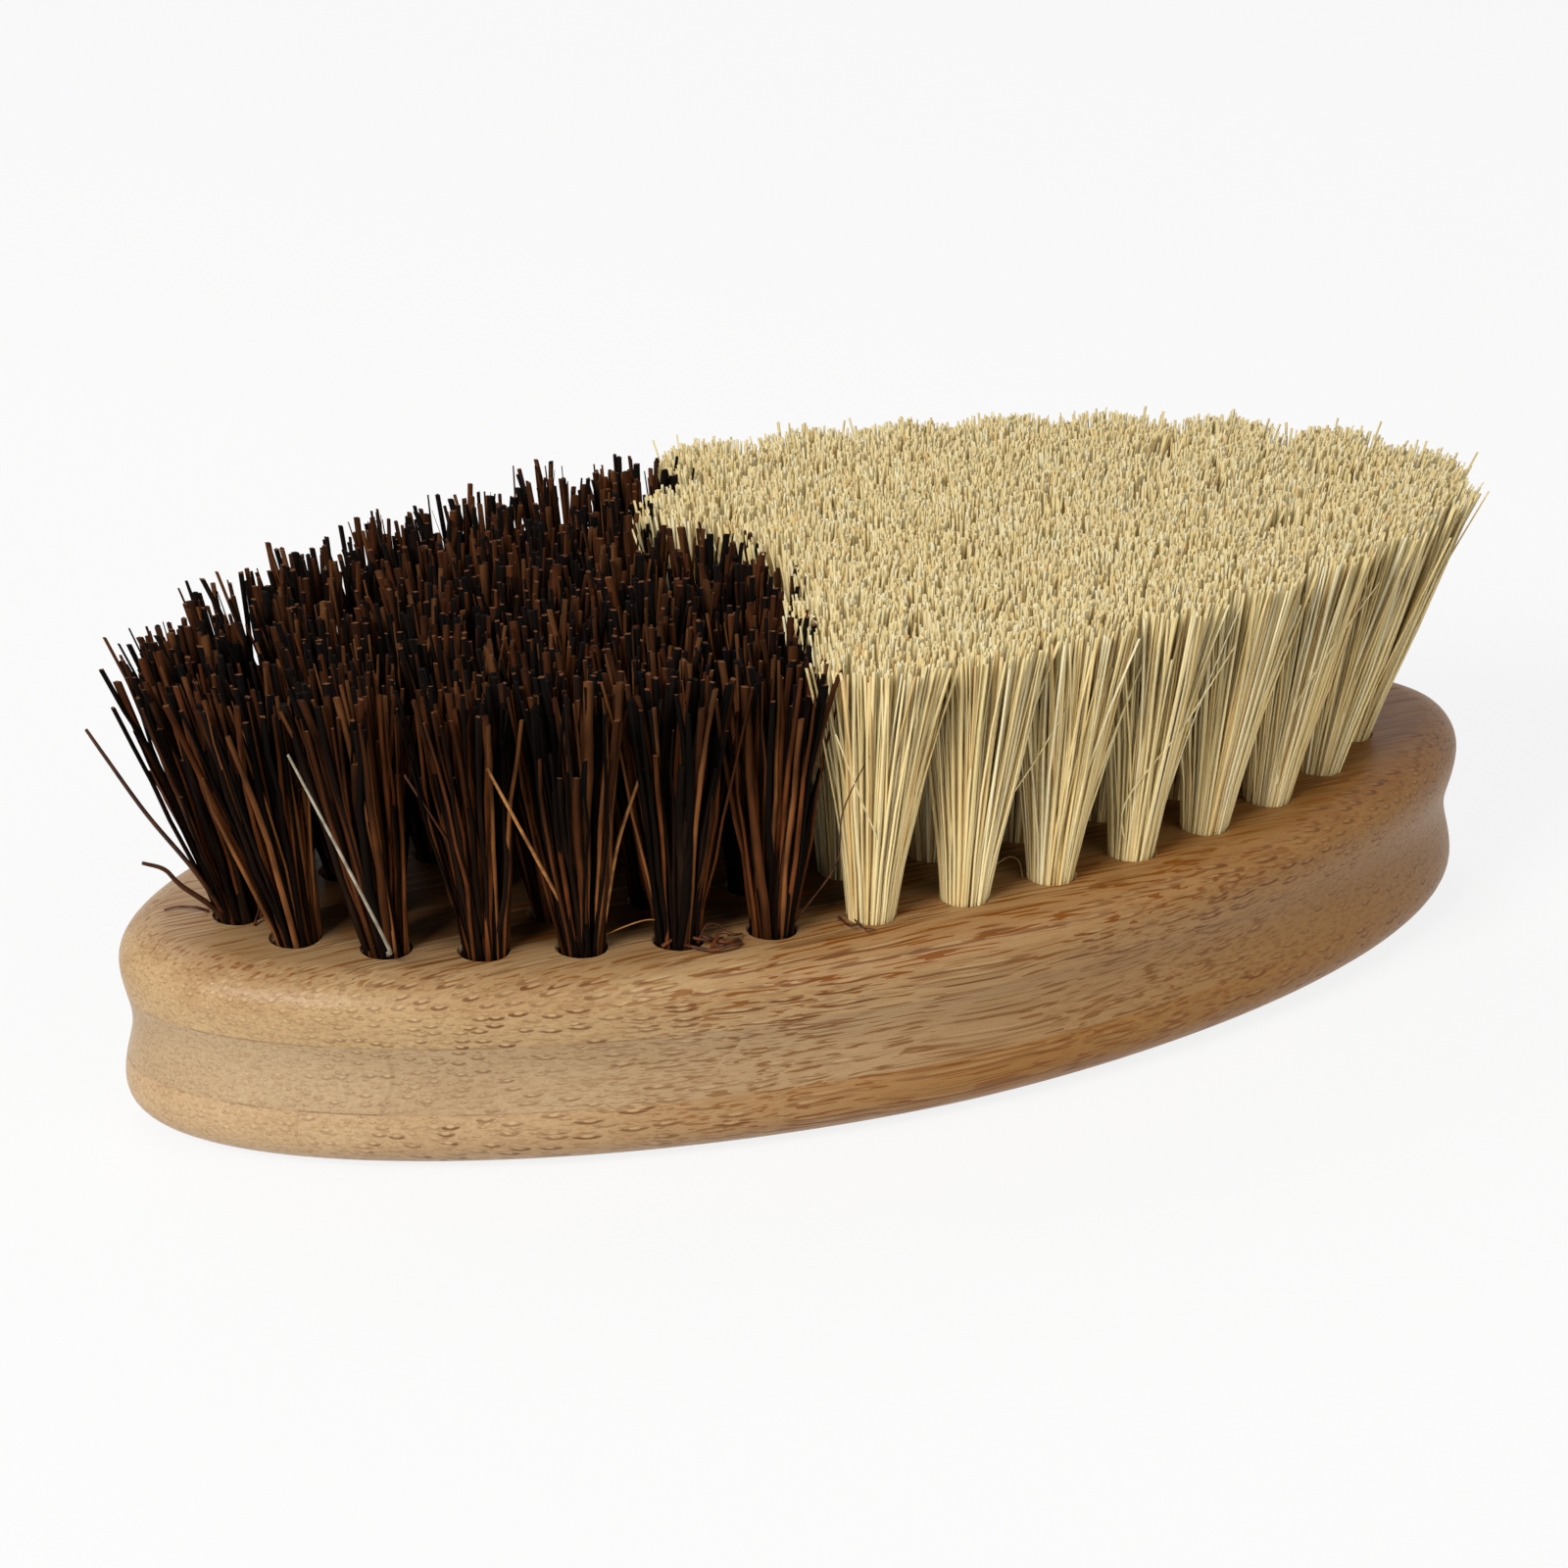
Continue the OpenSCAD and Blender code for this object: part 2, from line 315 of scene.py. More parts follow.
def bamboo(name, ground, mark, strip_from, joint_part, bundle_cell, bundle_size, bundle_part,
           rim_part, brown_and_shade_to, brown_and_shade_part):
    """Bamboo of one board: ground tissue, fibre bundles, strips and their glue lines.

    x, y and z, and what is made from them, are in millimetres. The culm's dense outer
    side lies at the rim of the block, and rim_part says how far the board shows it.
    The board is browner and darker to the right, by brown_and_shade_part from brown_and_shade_to on:
    partly the bamboo's own tone, partly painted shade on the end turned away from the light."""
    material, g, shader = new_material(name)
    spot = g.object_place()
    x, y, z = g.split(g.vector("SCALE", spot, 1 / MM))
    strip = g.over(g.minus(y, strip_from), STRIP_WIDE)
    strip_number = g.math("FLOOR", strip)
    off_middle = g.math("ABSOLUTE", g.minus(g.math("FRACT", strip), 0.5))
    from_joint = g.times(STRIP_WIDE, g.minus(0.5, off_middle))
    strip_tint = g.add("ShaderNodeTexWhiteNoise", {"W": g.plus(strip_number, strip_from)},
                       noise_dimensions="1D").outputs["Value"]

    def stretched(long_by, first, second):
        """A place with x divided by long_by, so that what it draws is longer along X."""
        return g.combine(g.over(x, long_by), first, second)

    # The bundles wander slowly along the board, so their streaks begin and end.
    along = stretched(17.0, g.times(strip_number, 7.3), g.over(z, 7.0))
    wander = g.split(g.noise(along, 1.0, 2.0, 0.5)[1])
    across = g.plus(y, g.times(g.minus(wander[0], 0.5), 1.6))
    up = g.plus(z, g.times(g.minus(wander[1], 0.5), 1.0))
    edges, lenses = bundle_marks(g, across, up, bundle_cell, bundle_size)
    fine_edges, fine_lenses = bundle_marks(g, g.plus(across, 31.0), up, 0.55, 0.12)
    patch = g.ramp(g.noise(stretched(12.0, across, up), 0.3, 2.0)[0], 0.35, 0.6, 0.6, 1.0)
    rim = g.times(g.ramp(z, 12.6, 16.2), rim_part)
    tip = g.ramp(x, -58.0, -44.0, 0.3, 1.0)
    shown = g.times(g.times(patch, tip), bundle_part)
    marks = g.math("MAXIMUM", g.times(edges, shown), g.times(fine_edges, 0.4))
    bellies = g.math("MAXIMUM", g.times(lenses, bundle_part), g.times(fine_lenses, 0.25))

    # Ground tissue: broad clouds, and fine lengthwise streaks that are stipple at the ends.
    cloud = g.noise(stretched(20.0, g.over(y, 6.0), g.over(z, 4.0)), 1.0, 3.0)[0]
    grain = g.noise(stretched(7.0, g.times(across, 3.6), g.times(up, 3.6)), 1.0, 3.0, 0.6)[0]
    thread = g.noise(stretched(9.0, g.times(across, 2.8), g.times(up, 4.2)), 1.0, 1.0, 0.5)[0]
    speckle = g.noise(spot, 6500.0, 2.0)[0]
    flat_top = g.ramp(z, FLAT_TOP_FROM, FLAT_TOP_TO)
    front = g.times(g.ramp(x, -44.0, -12.0), g.ramp(x, 14.0, 42.0, 1.0, 0.3))
    drawn = g.times(g.ramp(rim, 0.0, 1.0, 0.8, 1.0), g.math(
        "MAXIMUM", g.ramp(front, 0.0, 1.0, 0.25, 1.0), g.times(flat_top, 0.75)))
    streaks = g.math("MAXIMUM", g.times(g.ramp(grain, 0.47, 0.66), 0.22),
                     g.times(g.ramp(thread, 0.585, 0.61), drawn))
    # Browner and darker to the right: partly the bamboo's own tone, partly painted shade on the end
    # turned away from the light.
    brown_and_shade = g.times(g.ramp(x, -60.0, brown_and_shade_to, 0.0, 1.0), brown_and_shade_part)
    colour = g.blend(g.ramp(cloud, 0.3, 0.75, 0.0, 0.16), ground, mark)
    colour = g.blend(g.ramp(strip_tint, 0.0, 1.0, 0.0, 0.12), colour, mark)
    colour = g.blend(brown_and_shade, colour, BROWN_TONE_AND_SHADE)
    colour = g.blend(g.times(rim, g.ramp(patch, 0.45, 1.0, 0.08, 0.3)), colour, mark)
    colour = g.blend(g.times(flat_top, 0.14), colour, mark)

    # The wood between the palm tufts is tinted dark, to stand for the photo's deep shadow.
    inward = g.vector("LENGTH", stretched(61.0, g.over(y, 24.0), 0.0))
    shaded = g.times(g.ramp(inward, 0.8, 0.93, 0.86, 0.0), g.ramp(x, -8.0, 0.0, 1.0, 0.15))
    colour = g.blend(g.times(shaded, flat_top), colour, SHADED_BAMBOO)
    colour = g.blend(streaks, colour, mark)
    colour = g.blend(g.ramp(speckle, 0.35, 0.7, 0.0, 0.13), colour, mark)
    pale = g.times(bellies, g.ramp(x, -30.0, 20.0, 0.18, 0.06))
    colour = g.blend(pale, colour, PALE_LENS)
    colour = g.blend(g.times(marks, 0.9), colour, DARK_BUNDLE)
    glue = g.times(g.ramp(from_joint, 0.05, 0.13, 1.0, 0.0), joint_part)
    colour = g.blend(glue, colour, STRIP_GLUE)
    for joint in (LOWER_JOINT / MM, UPPER_JOINT / MM):
        apart = g.math("ABSOLUTE", g.minus(z, joint))
        faint = g.ramp(g.noise(stretched(9.0, y, joint), 0.5)[0], 0.35, 0.65, 0.05, 0.5)
        faint = g.times(faint, g.ramp(x, -45.0, 0.0, 1.0, 0.3))
        line = g.times(g.ramp(apart, 0.03, 0.12, 1.0, 0.0), faint)
        colour = g.blend(line, colour, BOARD_GLUE)
    height = g.minus(g.times(grain, 0.5), g.times(marks, 0.15))
    g.dress(shader, {"Base Color": colour, "Roughness": g.ramp(grain, 0.25, 0.75, 0.33, 0.48),
                     "Specular IOR Level": 0.2}, height, 0.3, 0.04 * MM)
    return material


def raw_wood():
    """Torn wood of the hole walls."""
    material, g, shader = new_material("raw_bamboo")
    spot = g.vector("SCALE", g.object_place(), 1000.0)
    x, y, z = g.split(spot)
    torn = g.noise(g.combine(g.times(x, 2.2), g.times(y, 2.2), z), 2.0, 3.0)[0]
    # Painted shade: the wall darkens deeper in the hole; near the mouth it shows the pale chipped wood.
    deep = g.ramp(z, 15.0, 17.9, 0.0, 1.0)
    chips = g.stops(torn, [(0.32, linear(120, 84, 50)), (0.6, linear(214, 186, 148))])
    colour = g.blend(deep, linear(92, 62, 36), chips)
    g.dress(shader, {"Base Color": colour, "Roughness": 0.8}, torn, 0.6, 0.1 * MM)
    return material


# Block

def side_inset(sizes, height):
    """How far the side of the block lies inside its outline at a height."""
    groove_from = sizes.foot_round_h
    groove_to = BLOCK_HIGH.z - sizes.rim_round_h
    if height <= groove_from:
        turn = math.acos(max(-1, min(1, 1 - height / sizes.foot_round_h)))
        return sizes.foot_round_in * (1 - math.sin(turn))
    if height >= groove_to:
        turn = math.asin(max(-1, min(1, (height - groove_to) / sizes.rim_round_h)))
        return sizes.rim_round_in * (1 - math.cos(turn))
    part = (height - groove_from) / (groove_to - groove_from)
    return sizes.groove_deep * (1 - math.cos(2 * math.pi * part)) / 2


def outline_point(sizes, turn, inset):
    """A point of the block's outline, drawn in along its own normal."""
    half_l = BLOCK_HIGH.x
    half_w = BLOCK_HIGH.y
    power = sizes.oval_power
    x = half_l * math.copysign(abs(math.cos(turn)) ** (2 / power), math.cos(turn))
    y = half_w * math.copysign(abs(math.sin(turn)) ** (2 / power), math.sin(turn))
    slope = Vector((math.copysign(abs(x / half_l) ** (power - 1) / half_l, x),
                    math.copysign(abs(y / half_w) ** (power - 1) / half_w, y)))
    slope.normalize()
    return x - inset * slope.x, y - inset * slope.y


def board_heights(sizes, low, high):
    """Heights of the rings of a board, close together where its edge is round."""
    round_steps = 12
    groove_to = BLOCK_HIGH.z - sizes.rim_round_h
    heights = {low, high}
    for step in range(round_steps + 1):
        turn = math.pi / 2 * step / round_steps
        heights.add(sizes.foot_round_h * (1 - math.cos(turn)))
        heights.add(groove_to + sizes.rim_round_h * math.sin(turn))
    groove_steps = 20
    for step in range(1, groove_steps):
        heights.add(sizes.foot_round_h + (groove_to - sizes.foot_round_h) * step / groove_steps)
    least = 0.02 * MM
    inside = [h for h in sorted(heights) if low + least < h < high - least]
    return [low] + inside + [high]


def round_ring(form, middle, side, front, radius, sides):
    """A round ring of vertices in the plane of side and front."""
    return [form.verts.new(middle + radius * (math.cos(2 * math.pi * k / sides) * side
                                              + math.sin(2 * math.pi * k / sides) * front))
            for k in range(sides)]


def skin(form, rings):
    """Joins the rings with faces, and closes both ends."""
    sides = len(rings[0])
    for lower, upper in zip(rings, rings[1:]):
        for k in range(sides):
            n = (k + 1) % sides
            form.faces.new((lower[k], lower[n], upper[n], upper[k]))
    form.faces.new(list(reversed(rings[0])))
    form.faces.new(rings[-1])


def new_object(name, data):
    """An object in the scene."""
    made = bpy.data.objects.new(name, data)
    bpy.context.scene.collection.objects.link(made)
    return made


def form_object(name, form):
    """The form as an object. The form is used up."""
    mesh = bpy.data.meshes.new(name)
    form.to_mesh(mesh)
    form.free()
    return new_object(name, mesh)


def board_form(sizes, low, high):
    """A closed board between two heights of the block."""
    sides = 240
    form = bmesh.new()
    rings = []
    for height in board_heights(sizes, low, high):
        inset = side_inset(sizes, height)
        points = [outline_point(sizes, 2 * math.pi * k / sides, inset) for k in range(sides)]
        rings.append([form.verts.new((x, y, height)) for x, y in points])
    skin(form, rings)
    return form


def finished_mesh(name, form, material, smooth_under):
    """The form as a new object, smooth but for its edges."""
    piece = form_object(name, form)
    piece.data.materials.append(material)
    piece.data.shade_smooth()
    piece.data.set_sharp_from_angle(angle=smooth_under)
    return piece


def hole_cutter(sizes, holes):
    """All the drilled holes as one mesh, each with its raw edge flared out."""
    sides = 28
    form = bmesh.new()
    for mouth, axis in holes:
        side = axis.orthogonal().normalized()
        front = axis.cross(side)
        radius = sizes.hole_d / 2
        stations = ((-sizes.hole_deep, radius), (-sizes.hole_flare, radius),
                    (0.5 * sizes.hole_flare, radius + 1.2 * sizes.hole_flare),
                    (3 * MM, radius + 1.3 * sizes.hole_flare))
        skin(form, [round_ring(form, mouth + along * axis, side, front, wide, sides)
                    for along, wide in stations])
    bmesh.ops.recalc_face_normals(form, faces=form.faces)
    return form_object("hole_cutter", form)


def baked_down(piece):
    """The piece's evaluated mesh in place of its modifiers."""
    bpy.context.view_layer.update()
    graph = bpy.context.evaluated_depsgraph_get()
    mesh = bpy.data.meshes.new_from_object(piece.evaluated_get(graph), depsgraph=graph)
    piece.modifiers.clear()
    piece.data = mesh
    mesh.name = piece.name
    return piece


def drilled(piece, sizes, holes, raw):
    """The board with its tuft holes, whose walls are raw wood."""
    cutter = hole_cutter(sizes, holes)
    cutter.data.materials.append(raw)
    cut = piece.modifiers.new("holes", "BOOLEAN")
    cut.operation = "DIFFERENCE"
    cut.solver = "MANIFOLD"
    cut.material_mode = "TRANSFER"
    cut.object = cutter
    baked_down(piece)
    bpy.data.objects.remove(cutter)
    mesh = piece.data
    mesh.shade_smooth()
    mesh.set_sharp_from_angle(angle=math.radians(32))
    return piece


# Tufts

def tuft_holes():
    """The mouth and direction of every tuft hole.

    A flat anchor stands square at the bottom of each hole, so its upper and
    lower corners give the way that the hole was drilled."""
    anchors = bmesh.new()
    anchors.from_mesh(frame["nodes"]["tuft_anchors"].data)
    bmesh.ops.remove_doubles(anchors, verts=anchors.verts, dist=0.01 * MM)
    left = set(anchors.verts)
    holes = []
    while left:
        corners = set()
        reached = [next(iter(left))]
        while reached:
            corner = reached.pop()
            if corner not in corners:
                corners.add(corner)
                reached += [edge.other_vert(corner) for edge in corner.link_edges]
        left -= corners
        middle = sum((c.co for c in corners), Vector()) / len(corners)
        upper = [c.co for c in corners if c.co.z > middle.z]
        lower = [c.co for c in corners if c.co.z <= middle.z]
        axis = (sum(upper, Vector()) / len(upper) - sum(lower, Vector()) / len(lower)).normalized()
        holes.append((middle + axis * (BLOCK_HIGH.z - middle.z) / axis.z, axis))
    anchors.free()
    return sorted(holes, key=lambda hole: (round(hole[0].x, 5), hole[0].y))


HOLES = tuft_holes()
SISAL_NODES = [n for n in NODE_NAMES if n.startswith("sisal_")]
PALM_NODES = [n for n in NODE_NAMES if n.startswith("palm_")]
TRIM_HEIGHT = max(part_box(n)[1].z for n in SISAL_NODES)
END_DROP = TRIM_HEIGHT - min(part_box(n)[1].z for n in SISAL_NODES)
HOLE_REACH = max(abs(mouth.x) for mouth, _ in HOLES)


def holes_of(node):
    """The holes that a tuft node is planted in."""
    low = [v.co for v in frame["nodes"][node].data.vertices if v.co.z < BLOCK_HIGH.z - 2 * MM]
    near = 2.6 * MM
    return [(mouth, axis) for mouth, axis in HOLES
            if any((co - mouth - axis * (co.z - mouth.z) / axis.z).length < near for co in low)]


def tip_of(mouth, axis):
    """Middle of a tuft's trimmed tips. The trim falls away towards both ends."""
    height = TRIM_HEIGHT - END_DROP * (mouth.x / HOLE_REACH) ** 4
    return mouth + axis * (height - mouth.z) / axis.z


FIBRE_SETTINGS = (
    "Root Radius", "Tip Radius", "Thickness", "Uneven", "Flatness", "Bow", "Wander", "Waves", "Ragged",
    "Short Share", "Short By", "Stray Share", "Stray Reach", "Taper", "Dome", "Clumps", "Clumping",
    "Buried")
FIBRE_INPUTS = ([("Fibres", "Int")] + [(label, "Float") for label in FIBRE_SETTINGS]
                + [("Seed", "Int"), ("Material", "Material")])
COLOUR_CLASSES = 64
BAKE_MAP = "OFBake"
GOLDEN_TURN = math.pi * (3 - math.sqrt(5))


class FibreGraph(NodeGraph):
    """The node graph that grows the fibres of a tuft."""

    def chance(self, salt, low=0.0, high=1.0):
        """A random number for each point, from the graph's own seed."""
        node = self.add("FunctionNodeRandomValue", data_type="FLOAT")
        self.feed(node.inputs[2], low)
        self.feed(node.inputs[3], high)
        self.feed(node.inputs["Seed"], self.plus(self.seed, float(salt)))
        return node.outputs[1]

    def store(self, geometry, name, kind, value, domain="POINT"):
        node = self.add("GeometryNodeStoreNamedAttribute", {"Geometry": geometry, "Name": name},
                        data_type=kind, domain=domain)
        self.feed(next(s for s in node.inputs if s.name == "Value" and s.enabled), value)
        return node.outputs["Geometry"]

    def read(self, name, kind="FLOAT"):
        node = self.add("GeometryNodeInputNamedAttribute", {"Name": name}, data_type=kind)
        return next(s for s in node.outputs if s.name == "Attribute" and s.enabled)

    def moved(self, place, direction, amount):
        """The place, moved along a direction by an amount."""
        return self.vector("ADD", place, self.vector("SCALE", direction, amount))

    def flat_direction(self, salt):
        """A level unit vector that points any way."""
        turn = self.chance(salt, 0.0, 2 * math.pi)
        return self.combine(self.math("COSINE", turn), self.math("SINE", turn))


def fibre_tree(name, sides, rings):
    """Builds the tree that turns tuft points into fibres with a fixed seed.

    Each point carries its tuft's tips as an attribute. The points are copied once
    for each fibre, placed on a spiral over the hole, and become closed tubes, which
    are then bent from the hole to the tips."""
    tree = bpy.data.node_groups.new(name, "GeometryNodeTree")
    tree.interface.new_socket("Geometry", in_out="INPUT", socket_type="NodeSocketGeometry")
    for label, kind in FIBRE_INPUTS:
        tree.interface.new_socket(label, in_out="INPUT", socket_type="NodeSocket" + kind)
    tree.interface.new_socket("Geometry", in_out="OUTPUT", socket_type="NodeSocketGeometry")
    g = FibreGraph(tree)
    given = g.add("NodeGroupInput").outputs
    g.seed = given["Seed"]

    copies = g.add("GeometryNodeDuplicateElements",
                   {"Geometry": given["Geometry"], "Amount": given["Fibres"]}, domain="POINT")
    number = g.plus(copies.outputs["Duplicate Index"], g.chance(1, 0.2, 0.8))
    share = g.math("SQRT", g.over(number, given["Fibres"]))
    turn = g.times(number, GOLDEN_TURN)
    spot = g.combine(g.times(share, g.math("COSINE", turn)),
                     g.times(share, g.math("SINE", turn)))
    is_stray = g.math("LESS_THAN", g.chance(2), given["Stray Share"])
    stray = g.vector("SCALE", g.flat_direction(3), g.times(
        is_stray, g.times(given["Stray Reach"], g.chance(4, 0.4, 1.0))))
    roam = g.vector("SCALE", g.flat_direction(5), g.times(given["Wander"], g.chance(6)))
    bow = g.vector("SCALE", g.flat_direction(7), g.times(given["Bow"], g.chance(8, -1.0, 1.0)))
    is_short = g.math("LESS_THAN", g.chance(9), given["Short Share"])
    short = g.times(is_short, g.times(given["Short By"], g.chance(10, 0.25, 1.0)))
    dome = g.times(given["Dome"], g.times(share, share))
    length = g.minus(g.times(given["Ragged"], g.chance(11, -1.0, 1.0)),
                     g.plus(short, dome))
    girth = g.times(given["Thickness"], g.plus(1.0, g.times(given["Uneven"], g.chance(12, -1.0, 1.0))))
    colour = g.math("FLOOR", g.chance(13, 0.0, COLOUR_CLASSES - 0.01))

    # Fibres stick together in clumps, which draw in towards the middle of their cell.
    points = copies.outputs["Geometry"]
    mouth = g.add("GeometryNodeInputPosition").outputs[0]
    shifted = g.vector("MULTIPLY", g.vector("SCALE", mouth, 977.0), (1.0, 1.0, 0.0))
    cells = g.moved(shifted, spot, given["Clumps"])
    clump = g.add("ShaderNodeTexVoronoi", {"Vector": cells, "Scale": 1.0}, voronoi_dimensions="2D")
    home = g.vector("SCALE", g.vector("SUBTRACT", clump.outputs["Position"], shifted),
                    g.over(1.0, given["Clumps"]))
    pull = g.vector("SCALE", g.vector("SUBTRACT", home, spot),
                    g.times(given["Clumping"], given["Tip Radius"]))
    drift = g.vector("ADD", g.vector("ADD", stray, roam), pull)
    for label, kind, value in (
            ("mouth", "FLOAT_VECTOR", mouth), ("spot", "FLOAT_VECTOR", spot),
            ("drift", "FLOAT_VECTOR", drift), ("bow", "FLOAT_VECTOR", bow),
            ("length", "FLOAT", length), ("girth", "FLOAT", girth), ("colour", "FLOAT", colour),
            ("roll", "FLOAT", g.chance(14, 0.0, 2 * math.pi)), ("wave", "FLOAT", g.chance(15, 0.0, 60.0)),
            ("taper", "FLOAT", g.math("POWER", g.chance(16), 3.0))):
        points = g.store(points, label, kind, value)
    points = g.add("GeometryNodeSetPosition",
                   {"Geometry": points, "Position": (0.0, 0.0, 0.0)}).outputs[0]

    tube = g.add("GeometryNodeMeshCylinder",
                 {"Vertices": sides, "Side Segments": rings, "Radius": 1.0, "Depth": 1.0})
    side_map = g.split(tube.outputs["UV Map"])
    place = g.split(g.add("GeometryNodeInputPosition").outputs[0])
    height = g.plus(place[2], 0.5)
    on_side = tube.outputs["Side"]
    cap_v = g.plus(g.times(height, 0.97), g.plus(0.015, g.times(place[1], 0.01)))
    side_v = g.plus(g.times(height, 0.9), 0.05)
    cap_u = g.plus(0.5, g.times(place[0], 0.35))
    map_u = g.plus(g.times(on_side, side_map[0]),
                   g.times(g.minus(1.0, on_side), cap_u))
    map_v = g.plus(g.times(on_side, side_v),
                   g.times(g.minus(1.0, on_side), cap_v))
    mapped = g.store(tube.outputs["Mesh"], BAKE_MAP, "FLOAT2", g.combine(map_u, map_v), "CORNER")
    shaded = g.add("GeometryNodeSetShadeSmooth", {"Geometry": mapped, "Shade Smooth": on_side})
    copies_placed = g.add("GeometryNodeInstanceOnPoints",
                          {"Points": points, "Instance": shaded.outputs[0]})
    fibres = g.add("GeometryNodeRealizeInstances", {"Geometry": copies_placed.outputs[0]}).outputs[0]

    unit = g.add("GeometryNodeInputPosition").outputs[0]
    ux, uy, uz = g.split(unit)
    foot = g.read("mouth", "FLOAT_VECTOR")
    way = g.vector("SUBTRACT", g.read("tip", "FLOAT_VECTOR"), foot)
    full = g.vector("LENGTH", way)
    run = g.plus(g.plus(full, g.read("length")), given["Buried"])
    risen = g.minus(g.times(g.plus(uz, 0.5), run), given["Buried"])
    part = g.math("MAXIMUM", 0.0, g.over(risen, full))
    middle = g.moved(foot, g.vector("NORMALIZE", way), risen)
    widening = g.minus(given["Tip Radius"], given["Root Radius"])
    spread = g.plus(given["Root Radius"], g.times(widening, part))
    middle = g.moved(middle, g.read("spot", "FLOAT_VECTOR"), spread)
    middle = g.moved(middle, g.read("drift", "FLOAT_VECTOR"), g.math("POWER", part, 1.6))
    middle = g.moved(middle, g.read("bow", "FLOAT_VECTOR"), g.math("SINE", g.times(part, math.pi)))
    wave = g.combine(g.times(part, 2.6), g.read("wave"))
    rippled = g.add("ShaderNodeTexNoise", {"Vector": wave, "Scale": 1.0, "Detail": 1.0})
    ripple = g.vector("SUBTRACT", rippled.outputs["Color"], (0.5, 0.5, 0.5))
    ripple = g.vector("MULTIPLY", ripple, (1.0, 1.0, 0.0))
    middle = g.moved(middle, ripple, g.times(given["Waves"], g.math("MINIMUM", 1.0, g.times(part, 3.0))))
    thin = g.minus(1.0, g.times(g.times(given["Taper"], g.read("taper")),
                                g.math("POWER", part, 2.0)))
    half = g.times(g.times(g.read("girth"), 0.5), thin)
    wide = g.times(ux, half)
    deep = g.times(g.times(uy, half), given["Flatness"])
    roll = g.read("roll")
    section = g.combine(
        g.minus(g.times(wide, g.math("COSINE", roll)),
                g.times(deep, g.math("SINE", roll))),
        g.plus(g.times(wide, g.math("SINE", roll)),
               g.times(deep, g.math("COSINE", roll))))
    bent = g.add("GeometryNodeSetPosition",
                 {"Geometry": fibres, "Position": g.vector("ADD", middle, section)})
    base_map = g.split(g.read(BAKE_MAP, "FLOAT_VECTOR"))
    class_u = g.over(g.plus(g.read("colour"), base_map[0]), float(COLOUR_CLASSES))
    final_map = g.combine(class_u, base_map[1])
    remapped = g.store(bent.outputs[0], BAKE_MAP, "FLOAT2", final_map, "CORNER")
    whole = g.add("GeometryNodeRealizeInstances", {"Geometry": remapped})
    painted = g.add("GeometryNodeSetMaterial",
                    {"Geometry": whole.outputs[0], "Material": given["Material"]})
    out = g.add("NodeGroupOutput")
    g.feed(out.inputs[0], painted.outputs[0])
    return tree


def set_inputs(modifier, tree, values):
    """Sets a modifier's inputs by their sockets' identifiers."""
    for item in tree.interface.items_tree:
        if item.in_out == "INPUT" and item.name in values:
            modifier[item.identifier] = values[item.name]


def grow_tufts(node, tree, values):
    """Grows the fibres of one CAD tuft node as a plain mesh that stands for it."""
    holes = holes_of(node)
    if not holes:
        raise RuntimeError("no hole was found under " + node)
    seedling = bpy.data.meshes.new(node + "_fibres")
    seedling.from_pydata([mouth for mouth, _ in holes], [], [])
    tips = seedling.attributes.new("tip", "FLOAT_VECTOR", "POINT")
    for k, (mouth, axis) in enumerate(holes):
        tips.data[k].vector = tip_of(mouth, axis)
    piece = new_object(node + "_fibres", seedling)
    grower = piece.modifiers.new("fibres", "NODES")
    grower.node_group = tree
    set_inputs(grower, tree, values)
    baked_down(piece)
    bpy.data.meshes.remove(seedling)
    kept = {BAKE_MAP, "position", "material_index", "sharp_face", "sharp_edge"}
    labels = [a.name for a in piece.data.attributes]
    for label in [n for n in labels if not n.startswith(".") and n not in kept]:
        piece.data.attributes.remove(piece.data.attributes[label])
    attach(piece, BODY)
    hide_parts(node)
    return piece


def fibre_material(name, colours, cut_colour, cut_share, spread, roughness, gloss, root_shade, dark_tip):
    """Natural fibre: a colour for each class of fibre, mottled along it, with pale cut tips."""
    material, g, shader = new_material(name)
    u, v, _ = g.split(g.add("ShaderNodeUVMap", uv_map=BAKE_MAP).outputs[0])
    scaled = g.times(u, float(COLOUR_CLASSES))
    number = g.math("FLOOR", scaled)
    across = g.math("FRACT", scaled)
    luck = g.add("ShaderNodeTexWhiteNoise", {"W": number}, noise_dimensions="1D")
    colour = g.stops(luck.outputs["Value"], colours, "CONSTANT")
    mottle = g.noise(g.combine(g.times(number, 3.7), g.times(v, 7.0),
                               g.times(across, 1.5)), 1.0, 2.0)[0]
    shade = g.ramp(mottle, 0.25, 0.75, 1.0 - spread, 1.0 + spread)
    colour = g.blend(1.0, colour, g.combine(shade, shade, shade), "MULTIPLY")
    # Painted shade: the fibres darken towards the root, where they crowd together at the hole.
    root = g.ramp(v, 0.24, 0.4, root_shade, 1.0)
    colour = g.blend(1.0, colour, g.combine(root, root, root), "MULTIPLY")
    top = g.ramp(v, 0.6, 0.9, 1.0, dark_tip)
    colour = g.blend(1.0, colour, g.combine(top, top, top), "MULTIPLY")
    cut_luck = g.split(luck.outputs["Color"])[1]
    is_cut = g.times(g.ramp(v, 0.962, 0.972), g.math("LESS_THAN", cut_luck, cut_share))
    colour = g.blend(is_cut, colour, cut_colour)
    g.dress(shader, {"Base Color": colour, "Roughness": roughness, "Specular IOR Level": gloss})
    return material


def hair_material(name, colour, dark):
    """A single stray fibre's own colour, mottled along it."""
    material, g, shader = new_material(name)
    spot = g.object_place()
    mottle = g.noise(spot, 700.0, 2.0)[0]
    mixed = g.blend(g.ramp(mottle, 0.35, 0.7), colour, dark)
    g.dress(shader, {"Base Color": mixed, "Roughness": 0.5, "Specular IOR Level": 0.25})
    return material


